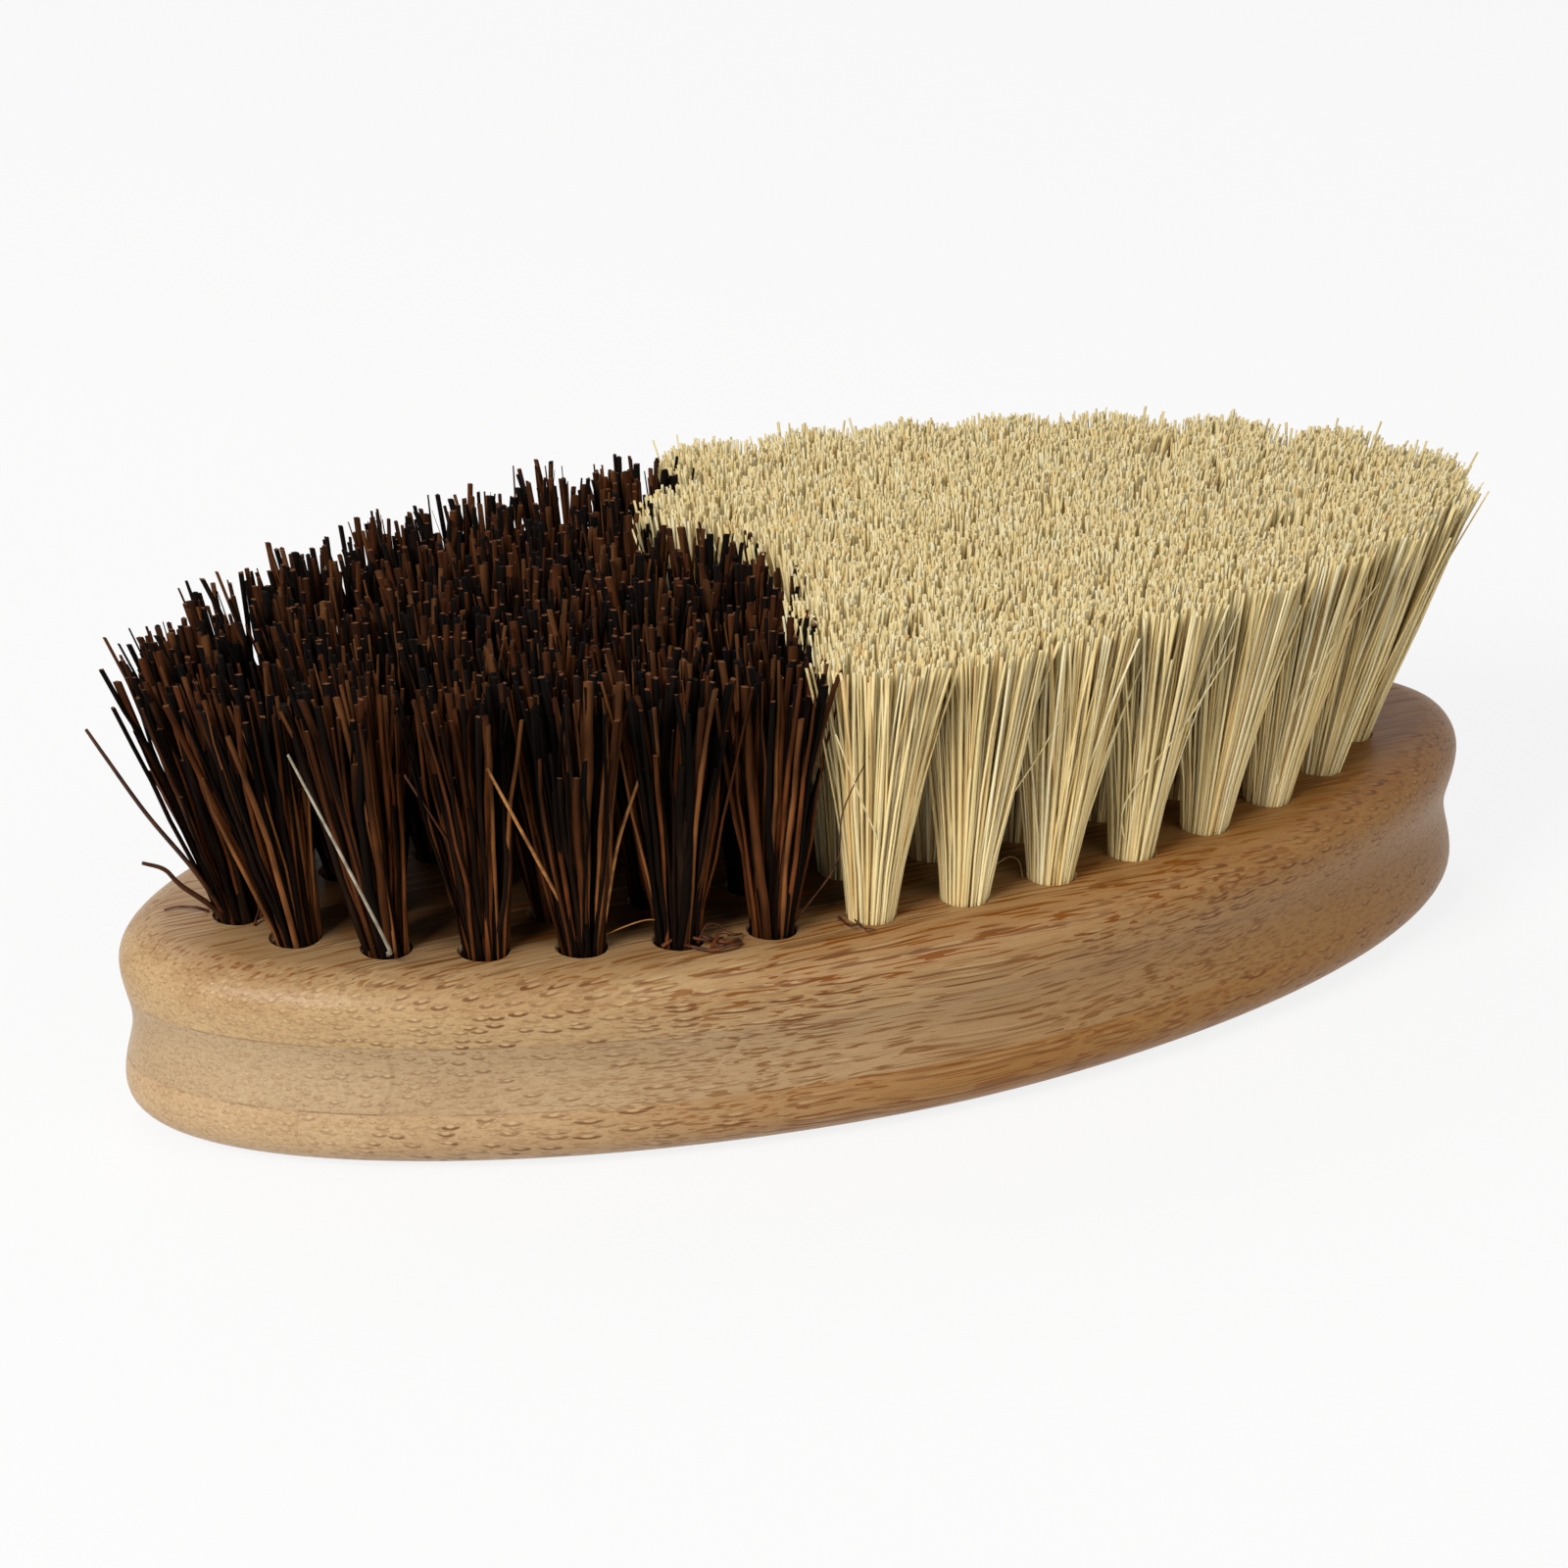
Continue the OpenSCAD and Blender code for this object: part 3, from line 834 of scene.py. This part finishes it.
def wire_metal():
    """Drawn steel wire of the anchors."""
    material, g, shader = new_material("anchor_wire")
    spot = g.vector("MULTIPLY", g.object_place(), (9000.0, 9000.0, 900.0))
    drawn = g.noise(spot, 1.0, 2.0)[0]
    steel = g.stops(drawn, [(0.3, linear(120, 118, 114)), (0.7, linear(178, 175, 168))])
    g.dress(shader, {"Base Color": steel, "Metallic": 1.0,
                     "Roughness": g.ramp(drawn, 0.3, 0.7, 0.3, 0.5)})
    return material


# Stray fibres

def smooth_path(points, steps):
    """Points along a Catmull-Rom curve through the given ones."""
    ends = [2 * points[0] - points[1]] + points + [2 * points[-1] - points[-2]]
    path = []
    for a, b, c, d in zip(ends, ends[1:], ends[2:], ends[3:]):
        for step in range(steps):
            t = step / steps
            path.append(0.5 * (2 * b + (c - a) * t + (2 * a - 5 * b + 4 * c - d) * t ** 2
                               + (3 * b - a - 3 * c + d) * t ** 3))
    return path + [points[-1]]


def rooted(points):
    """A stray fibre's points, led out of the hole that is nearest to the first one."""
    first = Vector(points[0]) * MM
    mouth, axis = min(HOLES, key=lambda hole: (hole[0] - first).to_2d().length)
    lean = (first - mouth).to_2d()
    lean = lean.normalized() * min(lean.length, 1.6 * MM)
    edge = mouth + Vector((lean.x, lean.y, 0))
    return [edge - 5 * MM * axis, edge] + [Vector(p) * MM for p in points]


def add_hair(form, path, thickness):
    """Sweeps a closed five-sided tube along the path, thinner towards its tip."""
    sides = 5
    rings = []
    for k, place in enumerate(path):
        ahead = (path[min(k + 1, len(path) - 1)] - path[max(k - 1, 0)]).normalized()
        side = ahead.cross(Vector((0.31, 0.2, 0.93))).normalized()
        front = ahead.cross(side)
        radius = thickness / 2 * (1 - 0.45 * k / (len(path) - 1))
        rings.append(round_ring(form, place, side, front, radius, sides))
    skin(form, rings)


# Each stray is its thickness and its points in millimetres. Those that grow out of
# a hole start above it, and the loose ones lie on the block.
PALM_GROWN = (
    (0.55, ((-58.9, -2.0, 23.5), (-62.8, -2.2, 29.5), (-66.1, -2.2, 35.4), (-67.4, -2.0, 37.8))),
    (0.6, ((-59.6, 0.0, 21.6), (-61.0, -0.2, 23.4), (-62.9, -0.3, 24.4))),
    (0.2, ((-11.6, -25.6, 24.5), (-11.4, -26.6, 29.8), (-9.4, -27.2, 34.6))),
    (0.45, ((-38.4, -15.6, 21.0), (-40.7, -15.9, 26.4), (-45.8, -17.0, 35.6))),
)
PALM_TAN = (
    (0.5, ((-32.4, -19.0, 20.5), (-35.9, -19.9, 27.8), (-40.1, -20.5, 36.5))),
    (0.5, ((-29.5, -19.4, 21.5), (-28.9, -20.5, 27.6), (-27.8, -21.1, 31.8), (-25.6, -21.6, 37.9))),
)
PALM_PALE = (
    (0.42, ((-47.4, -15.9, 20.4), (-50.9, -15.9, 28.8), (-55.1, -15.8, 38.6))),
)
PALM_SCRAPS = (
    (0.5, ((-24.6, -20.6, 18.2), (-22.6, -20.9, 18.7), (-21.5, -21.9, 18.4), (-20.4, -23.1, 18.3),
           (-19.0, -22.8, 18.2))),
    (0.44, ((-19.2, -23.6, 18.2), (-20.6, -24.2, 18.5), (-22.1, -24.0, 18.3), (-23.4, -22.8, 18.4),
            (-23.9, -21.6, 18.2))),
    (0.4, ((-25.4, -21.4, 18.2), (-23.8, -21.5, 18.9), (-22.2, -22.4, 18.6), (-20.2, -22.2, 18.3))),
    (0.36, ((-21.8, -23.4, 18.15), (-20.6, -22.4, 18.9), (-19.6, -23.0, 18.8), (-18.4, -22.0, 18.2))),
    (0.34, ((-22.4, -21.9, 18.1), (-21.4, -21.2, 19.2), (-20.2, -21.1, 19.0), (-19.4, -21.7, 18.1))),
    (0.3, ((-56.9, 1.4, 18.1), (-58.0, 1.6, 18.6), (-59.2, 2.8, 18.4), (-60.2, 3.3, 18.1))),
    (0.26, ((-54.4, -2.9, 18.1), (-53.4, -1.7, 19.2), (-52.8, -0.4, 19.8), (-52.2, 0.2, 19.3),
            (-52.4, -1.0, 18.1))),
    (0.26, ((-9.6, -22.4, 18.10), (-9.9, -24.9, 18.50), (-9.1, -25.3, 18.60), (-8.8, -26.3, 18.15))),
    (0.2, ((-8.6, -23.3, 18.10), (-9.2, -25.9, 18.60), (-7.9, -25.8, 18.10))),
)
PALM_WISPS = (
    (0.14, ((-30.2, -17.8, 18.05), (-28.3, -19.6, 19.7), (-26.0, -20.3, 20.3), (-24.2, -20.6, 19.5),
            (-22.9, -21.0, 18.05))),
)
SISAL_GROWN = (
    (0.24, ((35.7, -20.0, 27.5), (39.5, -20.6, 34.0), (43.9, -20.2, 38.7))),
    (0.24, ((3.6, -24.6, 24.5), (6.6, -26.4, 31.0), (10.2, -27.0, 37.0))),
    (0.24, ((-7.0, -25.4, 24.0), (-10.2, -27.4, 31.0), (-12.6, -27.6, 37.2))),
    (0.24, ((17.0, -23.6, 24.0), (21.2, -25.6, 31.0), (26.2, -25.4, 37.6))),
)
SISAL_CURLS = (
    (0.15, ((7.5, -18.4, 18.05), (8.3, -19.2, 18.9), (8.6, -20.4, 18.9), (8.2, -21.8, 18.05))),
)


# Operators

class BRUSH_OT_block(bpy.types.Operator):
    """Make the three bamboo boards with their tuft holes"""

    bl_idname = "brush.block"
    bl_label = "Bamboo block"

    def execute(self, context):
        sizes = context.scene.brush_block
        boards = (
            ("bottom_board", BLOCK_LOW.z, LOWER_JOINT, bamboo(
                "bamboo_bottom", linear(196, 168, 129), linear(124, 70, 18), strip_from=-14.0,
                joint_part=0.1, bundle_cell=0.95, bundle_size=0.23, bundle_part=0.95,
                rim_part=0.0, brown_and_shade_to=8.0, brown_and_shade_part=0.84)),
            ("middle_board", LOWER_JOINT, UPPER_JOINT, bamboo(
                "bamboo_middle", linear(190, 166, 131), linear(118, 74, 26), strip_from=-17.5,
                joint_part=0.16, bundle_cell=0.85, bundle_size=0.19, bundle_part=0.68,
                rim_part=0.0, brown_and_shade_to=50.0, brown_and_shade_part=0.8)),
            ("top_board", UPPER_JOINT, BLOCK_HIGH.z, bamboo(
                "bamboo_top", linear(195, 167, 124), linear(124, 70, 12), strip_from=-9.5,
                joint_part=0.1, bundle_cell=0.74, bundle_size=0.21, bundle_part=1.0,
                rim_part=1.0, brown_and_shade_to=62.0, brown_and_shade_part=0.82)),
        )
        raw = raw_wood()
        for node, low, high, wood in boards:
            piece = finished_mesh(node + "_bamboo", board_form(sizes, low, high), wood, math.radians(32))
            if node != "bottom_board":
                drilled(piece, sizes, HOLES, raw)
            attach(piece, BODY)
            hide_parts(node)
        return {"FINISHED"}


class BRUSH_OT_anchors(bpy.types.Operator):
    """Give the flat wire anchors their metal"""

    bl_idname = "brush.anchors"
    bl_label = "Wire anchors"

    def execute(self, context):
        anchors = frame["nodes"]["tuft_anchors"]
        anchors.data.materials.clear()
        anchors.data.materials.append(wire_metal())
        return {"FINISHED"}


class BRUSH_OT_palm(bpy.types.Operator):
    """Grow the coarse palm fibre tufts"""

    bl_idname = "brush.palm"
    bl_label = "Palm tufts"

    def execute(self, context):
        sizes = context.scene.brush_palm
        tree = fibre_tree("palm_fibres", sides=4, rings=8)
        material = fibre_material(
            "palm_fibre",
            [(0.0, linear(22, 11, 5)), (0.2, linear(70, 38, 17)), (0.4, linear(12, 6, 3)),
             (0.56, linear(94, 51, 24)), (0.8, linear(116, 72, 39)), (0.93, linear(30, 18, 10))],
            linear(104, 66, 42), cut_share=0.4, spread=0.5, roughness=0.75, gloss=0.05,
            root_shade=0.75, dark_tip=0.42)
        for k, node in enumerate(PALM_NODES):
            grow_tufts(node, tree, {
                "Fibres": sizes.fibres, "Root Radius": sizes.root_radius, "Tip Radius": sizes.tip_radius,
                "Thickness": sizes.thickness, "Uneven": 0.45, "Flatness": 0.65, "Bow": 1.0 * MM,
                "Wander": 1.1 * MM, "Waves": 1.3 * MM, "Ragged": sizes.ragged, "Short Share": 0.26,
                "Short By": 9 * MM, "Stray Share": 0.1, "Stray Reach": 3.2 * MM, "Taper": 0.8,
                "Dome": 1.2 * MM, "Clumps": 3.0, "Clumping": 0.6,
                "Buried": 9 * MM, "Seed": 100 + 20 * k, "Material": material})
        return {"FINISHED"}


class BRUSH_OT_sisal(bpy.types.Operator):
    """Grow the fine sisal tufts"""

    bl_idname = "brush.sisal"
    bl_label = "Sisal tufts"

    def execute(self, context):
        sizes = context.scene.brush_sisal
        tree = fibre_tree("sisal_fibres", sides=3, rings=5)
        material = fibre_material(
            "sisal_fibre",
            [(0.0, linear(242, 222, 166)), (0.36, linear(236, 211, 149)), (0.6, linear(228, 212, 154)),
             (0.72, linear(247, 234, 190)), (0.93, linear(227, 192, 128)), (0.98, linear(186, 147, 91))],
            linear(238, 220, 176), cut_share=0.5, spread=0.07, roughness=0.5, gloss=0.3,
            root_shade=1.0, dark_tip=0.84)
        for k, node in enumerate(SISAL_NODES):
            grow_tufts(node, tree, {
                "Fibres": sizes.fibres, "Root Radius": sizes.root_radius, "Tip Radius": sizes.tip_radius,
                "Thickness": sizes.thickness, "Uneven": 0.3, "Flatness": 0.85, "Bow": 0.5 * MM,
                "Wander": 0.6 * MM, "Waves": 0.3 * MM, "Ragged": sizes.ragged, "Short Share": 0.05,
                "Short By": 5 * MM, "Stray Share": 0.12, "Stray Reach": 3.4 * MM, "Taper": 0.3,
                "Dome": 0.4 * MM, "Clumps": 5.0, "Clumping": 0.14,
                "Buried": 9 * MM, "Seed": 2000 + 20 * k, "Material": material})
        return {"FINISHED"}


class BRUSH_OT_strays(bpy.types.Operator):
    """Add the stray fibres and the loose scraps on the block"""

    bl_idname = "brush.strays"
    bl_label = "Stray fibres"

    def execute(self, context):
        brown = hair_material("brown_hair", linear(76, 40, 18), linear(34, 16, 8))
        torn = hair_material("torn_fibre", linear(98, 50, 22), linear(48, 24, 10))
        tan = hair_material("tan_hair", linear(178, 124, 68), linear(120, 74, 36))
        pale = hair_material("pale_hair", linear(176, 168, 150), linear(126, 114, 94))
        cream = hair_material("cream_hair", linear(232, 216, 168), linear(206, 184, 132))
        groups = (
            ("palm_stray_fibres", PALM_GROWN, True, brown, "palm_fibre"),
            ("palm_tan_fibres", PALM_TAN, True, tan, "palm_fibre"),
            ("palm_pale_fibre", PALM_PALE, True, pale, "palm_fibre"),
            ("palm_scraps", PALM_SCRAPS, False, torn, "palm_fibre"),
            ("palm_wisps", PALM_WISPS, False, tan, "palm_fibre"),
            ("sisal_stray_fibres", SISAL_GROWN, True, cream, "sisal_fibre"),
            ("sisal_curls", SISAL_CURLS, False, cream, "sisal_fibre"),
        )
        for name, hairs, grown, material, slot_name in groups:
            form = bmesh.new()
            for thickness, points in hairs:
                places = rooted(points) if grown else [Vector(p) * MM for p in points]
                add_hair(form, smooth_path(places, 6), thickness * MM)
            bmesh.ops.recalc_face_normals(form, faces=form.faces)
            piece = finished_mesh(name, form, material, math.radians(80))
            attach(piece, BODY)
        return {"FINISHED"}


def area_light(name, place, aim, size, power, colour):
    """A soft square lamp."""
    lamp = bpy.data.lights.new(name, "AREA")
    lamp.shape = "SQUARE"
    lamp.size = size
    lamp.energy = power
    lamp.color = colour
    lamp_object = new_object(name, lamp)
    lamp_object.location = place
    lamp_object.rotation_euler = (Vector(aim) - Vector(place)).to_track_quat("-Z", "Y").to_euler()


def seen_rays(g):
    """1 for rays from the camera and for mirrored or refracted ones."""
    path = g.add("ShaderNodeLightPath")
    seen = g.math("MAXIMUM", path.outputs["Is Camera Ray"], path.outputs["Is Glossy Ray"])
    return g.math("MAXIMUM", seen, path.outputs["Is Transmission Ray"])


class BRUSH_OT_stage(bpy.types.Operator):
    """Set the floor, the light and the camera"""

    bl_idname = "brush.stage"
    bl_label = "Stage"

    def execute(self, context):
        sizes = context.scene.brush_stage
        reach = sizes.floor_reach
        mesh = bpy.data.meshes.new("floor")
        mesh.from_pydata([(-reach, -reach, 0), (reach, -reach, 0), (reach, reach, 0), (-reach, reach, 0)],
                         [], [(0, 1, 2, 3)])
        floor = new_object("floor", mesh)
        floor.location.z = CAD_BOX[0][2]
        material, g, shader = new_material("pale_floor")
        shader.inputs["Base Color"].default_value = (0.82, 0.82, 0.82, 1.0)
        shader.inputs["Roughness"].default_value = 0.9
        glow = g.add("ShaderNodeEmission", {"Strength": 1.0})
        mix = g.add("ShaderNodeMixShader", {0: g.times(seen_rays(g), 0.84),
                                            1: shader.outputs[0], 2: glow.outputs[0]})
        output = next(n for n in material.node_tree.nodes if n.type == "OUTPUT_MATERIAL")
        g.feed(output.inputs["Surface"], mix.outputs[0])
        mesh.materials.append(material)

        world = bpy.data.worlds.new("studio")
        context.scene.world = world
        world.use_nodes = True
        g = NodeGraph(world.node_tree)
        background = next(n for n in world.node_tree.nodes if n.type == "BACKGROUND")
        background.inputs["Color"].default_value = (1.0, 1.0, 1.0, 1.0)
        g.feed(background.inputs["Strength"], g.math("MAXIMUM", 0.17, seen_rays(g)))

        aim = (0, 0, 20 * MM)
        area_light("key_light", (-0.95, -0.5, 0.75), aim, size=0.5, power=15.5, colour=(1.0, 0.985, 0.96))
        area_light("fill_light", (0.3, -0.9, 0.6), aim, size=0.7, power=2.8, colour=(1.0, 1.0, 1.0))
        area_light("back_light", (-0.1, 0.7, 1.0), aim, size=0.7, power=3.2, colour=(1.0, 1.0, 1.0))

        camera = new_object("camera", bpy.data.cameras.new("camera"))
        camera.data.sensor_width = 36
        camera.data.lens = sizes.camera_lens
        camera.data.clip_start = 0.01
        turned = (Matrix.Rotation(-sizes.camera_turn, 4, "Z")
                  @ Matrix.Rotation(math.pi / 2 - sizes.camera_dip, 4, "X")
                  @ Matrix.Rotation(sizes.camera_roll, 4, "Z"))
        place = Vector(sizes.camera_aim) + turned @ Vector((0, 0, sizes.camera_distance))
        camera.matrix_world = Matrix.Translation(place) @ turned
        context.scene.camera = camera
        context.scene.view_settings.view_transform = "Standard"
        return {"FINISHED"}


class BRUSH_PT_panel(bpy.types.Panel):
    """Lists the brush's groups of pieces"""

    bl_idname = "BRUSH_PT_panel"
    bl_label = "Vegetable brush"
    bl_space_type = "VIEW_3D"
    bl_region_type = "UI"
    bl_category = "Brush"

    def draw(self, context):
        for operator in OPERATORS:
            self.layout.operator(operator.bl_idname)


OPERATORS = (BRUSH_OT_stage, BRUSH_OT_block, BRUSH_OT_anchors, BRUSH_OT_palm, BRUSH_OT_sisal,
             BRUSH_OT_strays)
SIZE_GROUPS = {"brush_block": BlockSizes, "brush_palm": PalmSizes, "brush_sisal": SisalSizes,
               "brush_stage": StageSizes}
CLASSES = tuple(SIZE_GROUPS.values()) + OPERATORS + (BRUSH_PT_panel,)


def register():
    for cls in CLASSES:
        bpy.utils.register_class(cls)
    for label, group in SIZE_GROUPS.items():
        setattr(bpy.types.Scene, label, bpy.props.PointerProperty(type=group))


def unregister():
    for label in SIZE_GROUPS:
        delattr(bpy.types.Scene, label)
    for cls in reversed(CLASSES):
        bpy.utils.unregister_class(cls)


def main():
    register()
    bpy.ops.brush.stage()
    bpy.ops.brush.block()
    bpy.ops.brush.anchors()
    bpy.ops.brush.palm()
    bpy.ops.brush.sisal()
    bpy.ops.brush.strays()


if __name__ == "__main__":
    main()
